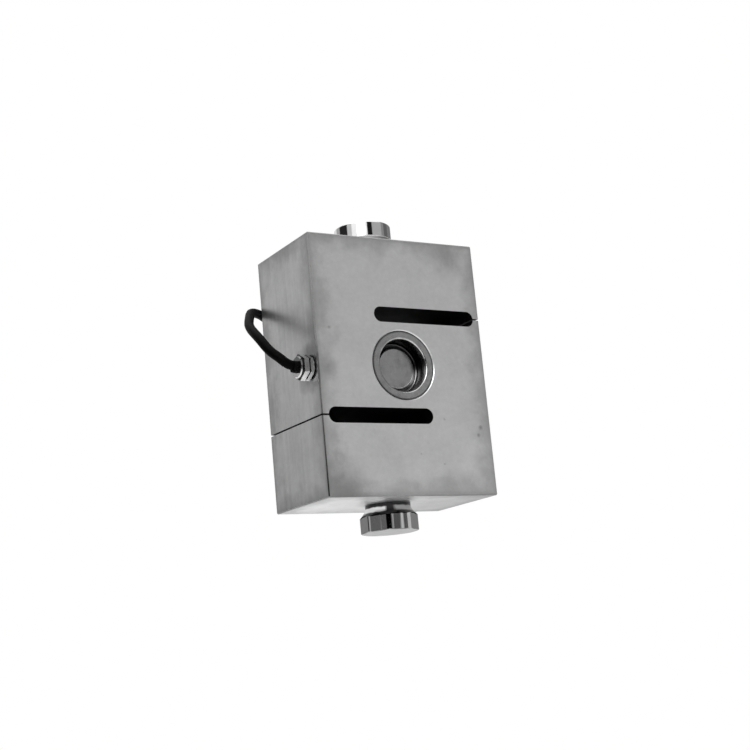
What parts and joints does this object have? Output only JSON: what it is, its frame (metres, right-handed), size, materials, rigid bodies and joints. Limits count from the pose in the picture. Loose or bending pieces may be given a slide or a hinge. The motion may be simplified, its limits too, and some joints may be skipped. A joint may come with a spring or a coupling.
{
  "type": "s type load cell",
  "caption": "S-shaped steel block with two long slots, a sealed gauge pocket in the middle, a round-headed stud at each end and a cable gland; measures pull or push along its axis.",
  "frame": {"origin": "the middle of the upper stud's end face, which is the face that holds the cell", "axes": "+Z along the load axis towards the upper stud's free end, +X across the width away from the cable gland, +Y through the depth from the front face to the rear face"},
  "size_m": [0.135, 0.092, 0.182],
  "materials": {
    "body_steel": "satin nickel plate on steel",
    "stud_chrome": "polished",
    "cup_steel": "drawn stainless sheet",
    "gauge_foil": "polyimide film",
    "board_green": "epoxy glass board",
    "resistor_body": "film resistor",
    "lead_enamel": "enamelled wire",
    "black_rubber": "moulded rubber",
    "gland_nickel": "nickel plated, turned",
    "cable_sheath": "black sheath",
    "tie_nylon": "nylon strap",
    "shield_sleeve": "sleeve over the drain wire",
    "core_red": "insulation",
    "core_black": "insulation",
    "core_green": "insulation",
    "core_white": "insulation"
  },
  "bodies": {
    "root": {"body": "body_steel", "upper_stud": "stud_chrome", "lower_stud": "stud_chrome", "front_cup": "cup_steel", "rear_cup": "cup_steel", "front_left_gauge": "gauge_foil", "front_right_gauge": "gauge_foil", "rear_left_gauge": "gauge_foil", "rear_right_gauge": "gauge_foil", "terminal_board": "board_green", "zero_resistor": "resistor_body", "span_resistor": "resistor_body", "front_leads": "lead_enamel", "rear_leads": "lead_enamel", "gland_seal_ring": "black_rubber", "gland_body": "gland_nickel", "gland_seal": "black_rubber", "gland_cap_nut": "gland_nickel", "cable": "cable_sheath", "cable_coil": "cable_sheath", "cable_tail": "cable_sheath", "coil_tie_upper": "tie_nylon", "coil_tie_side": "tie_nylon", "tail_shield": "shield_sleeve", "signal_core_red": "core_red", "tail_core_red": "core_red", "signal_core_black": "core_black", "tail_core_black": "core_black", "signal_core_green": "core_green", "tail_core_green": "core_green", "signal_core_white": "core_white", "tail_core_white": "core_white"}
  },
  "joints": []
}
